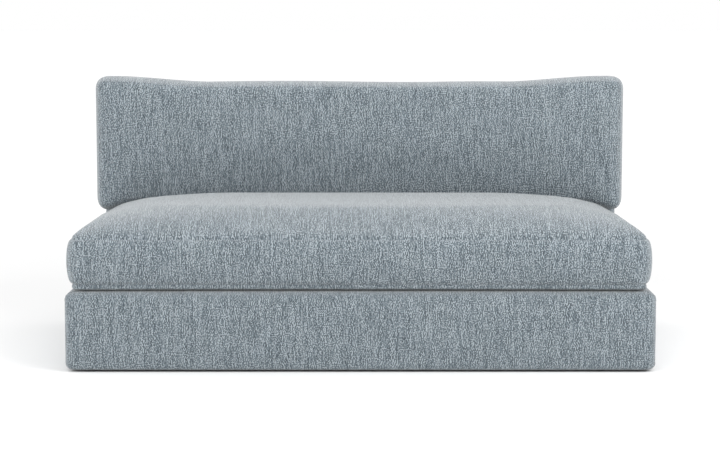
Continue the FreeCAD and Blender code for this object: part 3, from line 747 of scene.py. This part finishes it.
back_frame_cover = finish_piece(frame_back, "back_frame_cover", cover_cloth, "sofa_frame",
                                "inside_back_cover", "left_back_end_cover", "right_back_end_cover",
                                "inside_back_pad", "back_top_pad", "left_back_end_pad",
                                "right_back_end_pad")
smooth(back_frame_cover)

outside_low, outside_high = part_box("outside_back_cover")
outside_slack = 0.002
outside_swell = 0.002
outside_sink = 0.0006
outside_inset = 0.001
outside_wrap = 0.004
outside_foot = 0.002
outside_step = 0.02
wide = outside_high.x - outside_inset
narrow = back_high.x - outside_inset
outside = cut_block(
    Vector((outside_low.x + outside_inset, outside_low.y - outside_wrap, outside_low.z - outside_foot)),
    Vector((wide, outside_high.y, outside_high.z)), 0.02)
lay_grain(outside, outside_low, outside_high)
for vertex in outside.verts:
    share = eased((vertex.co.z - base_high.z + outside_step) / (2 * outside_step))
    vertex.co.x *= (wide + (narrow - wide) * share) / wide
    edge = min(back_high.x - abs(vertex.co.x), vertex.co.z - outside_low.z, outside_high.z - vertex.co.z)
    if vertex.co.y > outside_high.y - 0.001:
        wave = noise.noise(Vector((vertex.co.x * 3, 0, vertex.co.z * 2.2)))
        slack = outside_slack * 0.5 * (1 - wave) + outside_swell
        vertex.co.y += slack * rolled(edge, 0.05) - outside_sink
outside_back = finish_piece(outside, "outside_back", cover_cloth, "sofa_frame", "outside_back_cover")
smooth(outside_back)

# The dust cover: black non-woven cloth, pulled over the underside and stapled along its edge with flat
# wire staples. It sags a little between the stretchers.
dust_low, dust_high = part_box("dust_cover")
dust_sag = 0.0025
dust_fold = 0.0004
dust_hang = 0.0006
dust_thickness = 0.0005
dust_size = Vector((dust_high.x - dust_low.x, dust_high.y - dust_low.y, 1))
non_woven = fibrous("dust_cloth", 320.0, (0.008, 0.008, 0.009), (0.022, 0.022, 0.024),
                    (0.04, 0.04, 0.042), 0.25, 0.0004)
dust = bmesh.new()
bmesh.ops.create_grid(dust, x_segments=90, y_segments=48, size=0.5)
bmesh.ops.scale(dust, vec=dust_size, verts=dust.verts)
dust_place = (0, (dust_low.y + dust_high.y) / 2, dust_high.z - dust_hang)
bmesh.ops.translate(dust, vec=dust_place, verts=dust.verts)
for vertex in dust.verts:
    inset = min(dust_high.x - abs(vertex.co.x), vertex.co.y - dust_low.y, dust_high.y - vertex.co.y)
    sag = eased(inset / 0.2) * (0.6 + 0.4 * noise.noise(vertex.co * 5))
    pucker = noise.noise(vertex.co * 30) * math.exp(-inset / 0.05)
    vertex.co.z -= dust_sag * sag - dust_fold * pucker
dust_sheet = finish_piece(dust, "dust_sheet", non_woven, "sofa_frame", "dust_cover", slot="dust_cloth")
sheet_wall = dust_sheet.modifiers.new("thickness", "SOLIDIFY")
sheet_wall.thickness = dust_thickness
sheet_wall.offset = 0

staple_spacing = 0.055
staple_inset = 0.008
staple_size = 0.01, 0.0009, 0.0006
staple_first = Vector((dust_low.x + staple_inset, dust_low.y + staple_inset, dust_low.z))
staple_last = Vector((dust_high.x - staple_inset, dust_high.y - staple_inset, dust_low.z))
staples = bmesh.new()
for along, aside in ((0, 1), (1, 0)):
    length = dust_size[along] - 2 * staple_inset
    for row in (staple_first, staple_last):
        for number in range(1, int(length / staple_spacing)):
            spot = staple_first.copy()
            spot[aside] = row[aside]
            spot[along] += staple_spacing * number
            turn = Matrix.Rotation(noise.noise(spot * 90) * 0.5 + along * quarter_turn, 4, "Z")
            shape = Matrix.Translation(spot) @ turn @ Matrix.Diagonal((*staple_size, 1))
            bmesh.ops.create_cube(staples, size=1, matrix=shape)
bmesh.ops.bevel(staples, geom=staples.edges[:], offset=0.00015, offset_type="OFFSET", segments=1,
                profile=0.5, affect="EDGES", material=-1)
staple_wire = metal("staple_wire", (0.6, 0.6, 0.58), (0.4, 0.4, 0.38), 900.0, 0.3, 0.5, 1.0)
finish_piece(staples, "dust_cover_staples", staple_wire, "sofa_frame", slot="clip_steel")

# The seat cushion's cover: a top and a bottom panel and a boxing strip between them, sewn in plain
# seams round a crowned filling of foam and fibre. It lies loose on the deck, a little left of the
# middle, and the back cushion stands on its rear. A zip lies in a groove of its rear boxing.
seat_low, seat_high = span("seat_top_panel", "seat_bottom_panel", "seat_boxing", "seat_zip_boxing")
seat_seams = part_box("seat_boxing")[0].z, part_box("seat_boxing")[1].z
seat_shift = -0.0035
seat_bulge = 0.012
seat_swell = 0.0145
seat_corner = 0.032
seat_crown = seat_high.z - seat_seams[1]
seat_plateau = 0.435
seat_sunk = 0.036
seat_roll = 0.22
seat_roll_power = 0.66
seat_slope = 0.12
seat_side_fall = 0.33
seat_side_fall_power = 4
seat_side_roll = 0.105
seat_lip = 0.0135
seat_lip_width = 0.032
seat_crown_end = 0.140
seat_sunk_start = 0.185
seat_rear_flat = 0.03
seat_grain_start = 0.07
seat_ripple = 0.0016
ripple_reach = 0.03
cushion_spacing = 0.0125
cushion_pressure = 0.5
cushion_frames = 9
seat_start = 0.0065
seat_half = seat_high.x - seat_bulge
seat_front = seat_low.y + seat_bulge
seat_rear = seat_high.y - 0.001
seat_cut_low = Vector((-seat_half, seat_front, seat_seams[0]))
seat_cut_high = Vector((seat_half, seat_rear, seat_seams[1]))
droop_depth = 0.022
droop_from = 0.84


def droop(x):
    """How far the back cushion's underside hangs down towards its ends, over the seat's sides."""
    return droop_depth * eased((abs(x) / seat_half - droop_from) / (1 - droop_from))


seat = cut_block(seat_cut_low, seat_cut_high, cushion_spacing)
lay_grain(seat, seat_cut_low, seat_cut_high, seat_grain_start)
seat_panel = seat.faces.layers.int.new("panel")
for face in seat.faces:
    face[seat_panel] = round(face.normal.z)
for vertex in seat.verts:
    x, y, z = vertex.co
    edge = min(seat_half - abs(x), y - seat_front, seat_rear - y)
    up = (z - seat_seams[0]) / (seat_seams[1] - seat_seams[0])
    flat_x, flat_y, way_x, way_y = rounded_plan(x, y, seat_half, seat_front, seat_rear, seat_corner)
    if 0.001 < up < 0.999:
        if edge < 1e-6 and way_x == 0 and way_y == 0:
            way_x = math.copysign(1, x) if seat_half - abs(x) < 1e-6 else 0
            way_y = (-1 if y - seat_front < 1e-6 else 1) if way_x == 0 else 0
        swell = seat_swell * (4 * up * (1 - up)) ** 0.6
        if flat_y > seat_rear - seat_rear_flat:
            swell *= 0.08
        vertex.co = (flat_x + way_x * swell, flat_y + way_y * swell, z)
    elif up > 0.5:
        out = max(0.0, abs(x) - seat_plateau) / (seat_half - seat_plateau)
        fall = seat_slope * out + seat_side_fall * out ** seat_side_fall_power
        crown = seat_crown * (1 - fall) - seat_start
        rise = min(rolled(seat_half - abs(x), seat_side_roll),
                   rolled(y - seat_front, seat_roll, seat_roll_power))
        sink = eased((y - seat_crown_end) / (seat_sunk_start - seat_crown_end))
        high = crown * rise * (1 - sink)
        low = min(seat_sunk - droop(x), crown) * rolled(edge, 0.05) * sink
        vertex.co = (flat_x, flat_y, z + high + low)
    else:
        drop = (seat_seams[0] - seat_low.z) * rolled(edge, 0.016)
        inset = min(1.0, edge / seat_lip_width)
        lip = seat_lip * 4 * inset * (1 - inset)
        vertex.co = (flat_x + way_x * lip, flat_y + way_y * lip, z - drop)


def corners_of(edges):
    """The numbers of the vertices of some edges."""
    return sorted({vertex.index for edge in edges for vertex in edge.verts})


def sink_groove(block, low, high, way, depth):
    """Press the faces inside a box inwards as a flat-bottomed groove, open towards way."""
    for axis in range(3):
        if way[axis] == 0:
            for level in (low[axis], high[axis]):
                plane = Vector((axis == 0, axis == 1, axis == 2))
                near = [f for f in block.faces if f.normal.dot(way) > 0.7]
                near += [e for f in near for e in f.edges] + [v for f in near for v in f.verts]
                bmesh.ops.bisect_plane(block, geom=list(dict.fromkeys(near)), dist=1e-5,
                                       plane_co=plane * level, plane_no=plane)
    block.normal_update()
    floor_faces = []
    for face in block.faces:
        middle = face.calc_center_median()
        inside = all(low[n] < middle[n] < high[n] for n in range(3) if way[n] == 0)
        if inside and face.normal.dot(way) > 0.7 and low.dot(way) < middle.dot(way) < high.dot(way):
            floor_faces.append(face)
    bmesh.ops.inset_region(block, faces=floor_faces, thickness=0.0004, depth=0, use_even_offset=True)
    bmesh.ops.inset_region(block, faces=floor_faces, thickness=0.0006, depth=-depth,
                           use_even_offset=True)


seat.verts.index_update()
filled_out(seat, cushion_pressure, cushion_frames, 0.010, corners_of(seam_edges(seat, seat_panel)))
for vertex in seat.verts:
    vertex.co.z = max(vertex.co.z, seat_low.z)
    vertex.co.y = min(vertex.co.y, seat_high.y)
ripple(seat, seat_ripple, ripple_reach,
       lambda place: min(abs(place.z - seam) for seam in seat_seams), 3.0)
for vertex in seat.verts:
    vertex.co.x += seat_shift
zip_low, zip_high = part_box("seat_zip")
groove_wall = 0.0015
groove_search = 0.01
groove_floor = 0.001
sink_groove(seat, Vector((zip_low.x, seat_high.y - groove_search, zip_low.z - groove_wall)),
            Vector((zip_high.x, seat_high.y + groove_search, zip_high.z + groove_wall)),
            Vector((0, 1, 0)), seat_high.y - zip_low.y - groove_floor)
sew(seat, seam_edges(seat, seat_panel), 0.0045, 0.0065)
seat_cushion = finish_piece(seat, "seat_cushion_cover", cover_cloth, "seat_cushion",
                            "seat_top_panel", "seat_bottom_panel", "seat_boxing", "seat_zip_boxing",
                            "seat_fibre_wrap")
smooth(seat_cushion)

# The back cushion's cover: a front and a rear panel and a boxing strip between them, round a crowned
# filling. Its top corners stand a little proud of the middle, and its lower corners hang beside the
# seat's crown. Its zip lies in a groove of the boxing underneath.
rest_low, rest_high = span("back_front_panel", "back_boxing", "back_rear_panel")
rest_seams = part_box("back_boxing")[0].y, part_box("back_boxing")[1].y
rest_shift = -0.003
rest_bulge = 0.018
rest_narrow = 0.004
rest_corner = 0.014
rest_lower = 0.0035
rest_rise = 0.019
rest_rise_from = 0.56
rest_rise_over = 0.38
rest_crown = rest_seams[0] - rest_low.y
rest_tuck = rest_high.y - rest_seams[1]
rest_roll = 0.13
rest_start = 0.004
rest_ripple = 0.0018
rest_wave = 0.0018
rest_wave_phase = 0.26
rest_wave_rate = 7.8
rest_wave_fade = 0.25
rest_half = rest_high.x - rest_bulge - rest_narrow
rest_bottom = rest_low.z + rest_bulge
rest_top = rest_high.z - rest_rise - rest_bulge - rest_lower
rest_cut_low = Vector((-rest_half, rest_seams[0], rest_bottom))
rest_cut_high = Vector((rest_half, rest_seams[1], rest_top))
rest = cut_block(rest_cut_low, rest_cut_high, cushion_spacing)
lay_grain(rest, rest_cut_low, rest_cut_high, seat_grain_start)
rest_panel = rest.faces.layers.int.new("panel")
for face in rest.faces:
    face[rest_panel] = round(face.normal.y)
for vertex in rest.verts:
    x, y, z = vertex.co
    edge_x = rest_half - abs(x)
    edge_z = min(z - rest_bottom, rest_top - z)
    edge = min(edge_x, edge_z)
    flat_x, flat_z, way_x, way_z = rounded_plan(x, z, rest_half, rest_bottom, rest_top, rest_corner)
    if way_x == 0 and way_z == 0 and edge < 1e-6:
        way_x = math.copysign(1, x) if edge_x < 1e-6 else 0
        way_z = math.copysign(1, z - (rest_bottom + rest_top) / 2) if edge_z < 1e-6 else 0
    deep = (y - rest_seams[0]) / (rest_seams[1] - rest_seams[0])
    vertex.co.x = flat_x
    vertex.co.z = flat_z
    if 0.001 < deep < 0.999:
        swell = rest_bulge * min(1, 4.6 * deep * (1 - deep))
        vertex.co.x += way_x * swell
        vertex.co.z += way_z * swell
    elif deep < 0.5:
        high = rolled(edge_x, rest_roll) * rolled(edge_z, (rest_top - rest_bottom) / 2)
        vertex.co.y = y - (rest_crown - rest_start) * high
    else:
        vertex.co.y = y + rest_tuck * rolled(edge, 0.035)
    up = (z - rest_bottom) / (rest_top - rest_bottom)
    out = abs(x) / rest_half
    vertex.co.z += rest_rise * eased((out - rest_rise_from) / rest_rise_over) * up
    vertex.co.z -= droop(x) * (1 - up) ** 3
rest.verts.index_update()
filled_out(rest, cushion_pressure, cushion_frames, 0.008, corners_of(seam_edges(rest, rest_panel)))
for vertex in rest.verts:
    vertex.co.y = min(vertex.co.y, rest_high.y)
    if abs(vertex.co.x) < rest_half * droop_from:
        vertex.co.z = max(vertex.co.z, rest_low.z)
    wave = math.cos((vertex.co.x + rest_wave_phase) * rest_wave_rate)
    wave = wave * (1 - eased((vertex.co.x - rest_wave_fade) / rest_wave_fade)) - 0.2
    vertex.co.z += rest_wave * wave * max(0.0, vertex.co.z - rest_bottom) / (rest_top - rest_bottom)
ripple(rest, rest_ripple, ripple_reach,
       lambda place: min(abs(place.y - seam) for seam in rest_seams), 5.0)
for vertex in rest.verts:
    vertex.co.x += rest_shift
zip_low, zip_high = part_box("back_zip")
sink_groove(rest, Vector((zip_low.x, zip_low.y - groove_wall, rest_low.z - groove_search)),
            Vector((zip_high.x, zip_high.y + groove_wall, rest_low.z + groove_search)),
            Vector((0, 0, -1)), zip_high.z - rest_low.z - groove_floor)
sew(rest, seam_edges(rest, rest_panel), 0.004, 0.0035)
back_cushion = finish_piece(rest, "back_cushion_cover", cover_cloth, "back_cushion",
                            "back_front_panel", "back_boxing", "back_rear_panel", "back_fibre_wrap")
smooth(back_cushion)

# The foam cores: blocks of cream polyurethane foam inside the fibre wrap of each cushion. They are
# sawn from a large bun, with their edges eased, and the foam yellows a little with age.
foam, tree, shader = new_material("cushion_foam", 0.9, Sheen_Weight=0.1, Specular_IOR_Level=0.25)
spot = own_place(tree)
cells = add(tree, "ShaderNodeTexVoronoi", {"Vector": spot, "Scale": 700.0, "Randomness": 1.0})
age = add(tree, "ShaderNodeTexNoise", {"Vector": spot, "Scale": 6.0, "Detail": 3.0})
cream = blended(tree, age.outputs[0], (0.76, 0.7, 0.52, 1), (0.66, 0.56, 0.36, 1))
# Painted shade: the cream is darkened at the middle of each foam cell, where shade falls into the open
# pores.
painted_pore_shade = ranged(tree, cells.outputs["Distance"], 0.0, 0.6, 0.78, 1.0)
shaded = add(tree, "ShaderNodeCombineColor", {n: painted_pore_shade for n in range(3)})
tree.links.new(blended(tree, 1.0, cream, shaded.outputs[0], "MULTIPLY"), shader.inputs["Base Color"])
raise_surface(tree, shader, cells.outputs["Distance"], 0.0006, 0.8)
foam_edge = 0.008
foam_spacing = 0.08
foam_wander = 0.0008
for name, node, body in (("seat_foam", "seat_foam_core", "seat_cushion"),
                         ("back_foam", "back_foam_core", "back_cushion")):
    core_low, core_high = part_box(node)
    core = cut_block(core_low, core_high, foam_spacing)
    rims = [e for e in core.edges if e.calc_face_angle() > 1]
    bmesh.ops.bevel(core, geom=rims, offset=foam_edge, offset_type="OFFSET", segments=3, profile=0.5,
                    affect="EDGES", material=-1)
    for vertex in core.verts:
        vertex.co += foam_wander * noise.noise_vector(vertex.co * 14)
    finish_piece(core, name, foam, body, node, slot="foam")

# The zips: a woven tape with a coil of nylon teeth, sewn over the floor of each groove. The slider is
# enamelled zinc with a flat pull tab, and runs along the coil.
tape_cloth, tree, shader, cloth = woven_cloth(
    "zip_tape", 0.8, 0.15, 0.0006, 0.0008, 0.004,
    (0.09, 0.11, 0.13), (0.12, 0.145, 0.165), (0.17, 0.2, 0.22), 0.7)
tree.links.new(cloth.outputs["Colour"], shader.inputs["Base Color"])
raise_surface(tree, shader, cloth.outputs["Height"], 0.00015, 0.8)
coil_nylon, tree, shader = new_material("zip_coil", 0.42, Specular_IOR_Level=0.45)
shade = add(tree, "ShaderNodeTexNoise", {"Vector": own_place(tree), "Scale": 240.0, "Detail": 3.0})
tree.links.new(blended(tree, shade.outputs[0], (0.09, 0.11, 0.125, 1), (0.15, 0.175, 0.195, 1)),
               shader.inputs["Base Color"])
raise_surface(tree, shader, shade.outputs[0], 0.00005, 0.5)
tooth_pitch = 0.0024
tape_thickness = 0.001
tape_spacing = 0.0065
tooth_reach = 0.0021
tooth_stagger = 0.0005
tooth_lean = math.radians(14)
for name, node, body, way in (("seat", "seat_zip", "seat_cushion", Vector((0, 1, 0))),
                              ("back", "back_zip", "back_cushion", Vector((0, 0, -1)))):
    low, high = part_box(node)
    across = Vector((0, way.z, way.y)).normalized()
    floor_level = min(low.dot(way), high.dot(way))
    tape_low, tape_high = low.copy(), high.copy()
    for axis in range(3):
        if way[axis] > 0:
            tape_high[axis] = low[axis] + tape_thickness
        elif way[axis] < 0:
            tape_low[axis] = high[axis] - tape_thickness
    tape = cut_block(tape_low, tape_high, tape_spacing)
    lay_grain(tape, tape_low, tape_high)
    finish_piece(tape, name + "_zip_tape", tape_cloth, body, node, slot="zip_tape")
    teeth = bmesh.new()
    count = int((high.x - low.x) / tooth_pitch)
    middle = (low + high) / 2
    tooth_height = abs(high.dot(way) - low.dot(way)) - tape_thickness
    for number in range(count):
        side = 1 if number % 2 else -1
        spot = Vector((low.x + tooth_pitch * (number + 0.5), middle.y, middle.z))
        spot += way * (floor_level + tape_thickness + tooth_height / 2 - spot.dot(way))
        spot += across * side * tooth_stagger
        size = Vector((tooth_pitch * 0.62, 0, 0)) + across * 2 * tooth_reach * 0.86
        size = Vector([abs(n) for n in size + way * tooth_height])
        lean = Matrix.Rotation(side * tooth_lean, 4, way)
        shape = Matrix.Translation(spot) @ lean @ Matrix.Diagonal((*size, 1))
        bmesh.ops.create_cube(teeth, size=1, matrix=shape)
    bmesh.ops.bevel(teeth, geom=teeth.edges[:], offset=0.0003, offset_type="OFFSET", segments=1,
                    profile=0.5, affect="EDGES", material=-1)
    finish_piece(teeth, name + "_zip_coil", coil_nylon, body, slot="zip_tape")
metal("slider_enamel", (0.12, 0.14, 0.16), (0.2, 0.22, 0.24), 500.0, 0.25, 0.45, 0.6,
      "seat_zip_slider", "back_zip_slider")

# The floor is plain, pale and matt. It glows a little where it lies far from the sofa, so that it
# fades into the white of the studio.
floor_reach = 400
floor_glow = 0.24
glow_from, glow_to = 2.0, 5.0
floor = bmesh.new()
bmesh.ops.create_grid(floor, x_segments=1, y_segments=1, size=floor_reach)
floor_mesh = bpy.data.meshes.new("floor")
floor.to_mesh(floor_mesh)
floor.free()
floor_piece = bpy.data.objects.new("floor", floor_mesh)
scene.collection.objects.link(floor_piece)
floor_paint, tree, shader = new_material("floor_paint", 0.9, Specular_IOR_Level=0.1)
shader.inputs["Base Color"].default_value = (0.8, 0.8, 0.8, 1)
shader.inputs["Emission Strength"].default_value = floor_glow
spot = own_place(tree)
far = add(tree, "ShaderNodeVectorMath", {0: spot}, operation="LENGTH").outputs["Value"]
far = ranged(tree, far, glow_from, glow_to)
tree.links.new(blended(tree, far, (0, 0, 0, 1), (1, 1, 1, 1)), shader.inputs["Emission Color"])
floor_mesh.materials.append(floor_paint)

# Soft studio light: a white room, a large key lamp to the front right and one overhead, a wide lamp
# behind the camera, and a softer lamp on each side that lights the rims.
world = bpy.data.worlds.new("studio")
scene.world = world
world.use_nodes = True
world.node_tree.nodes["Background"].inputs[0].default_value = (1, 1, 1, 1)
world.node_tree.nodes["Background"].inputs[1].default_value = 1.0


def lamp(name, place, target, size, power):
    """A square studio lamp that points at a target."""
    light = bpy.data.lights.new(name, "AREA")
    light.size = size
    light.energy = power
    stand = bpy.data.objects.new(name, light)
    stand.location = place
    stand.rotation_euler = (Vector(target) - Vector(place)).to_track_quat("-Z", "Y").to_euler()
    scene.collection.objects.link(stand)


lamp("key", (2.6, -2.6, 3.0), (0, 0, 0.4), 2.2, 70)
lamp("overhead", (0, 0.1, 3.2), (0, -0.1, 0.4), 2.4, 15)
lamp("front", (-0.8, -4.4, 1.9), (0, -0.2, 0.4), 2.6, 36)
lamp("left_side", (-3.0, -1.4, 1.7), (0, 0, 0.4), 1.8, 34)
lamp("right_side", (3.0, -1.4, 1.7), (0, 0, 0.4), 1.8, 22)
scene.view_settings.view_transform = "Standard"
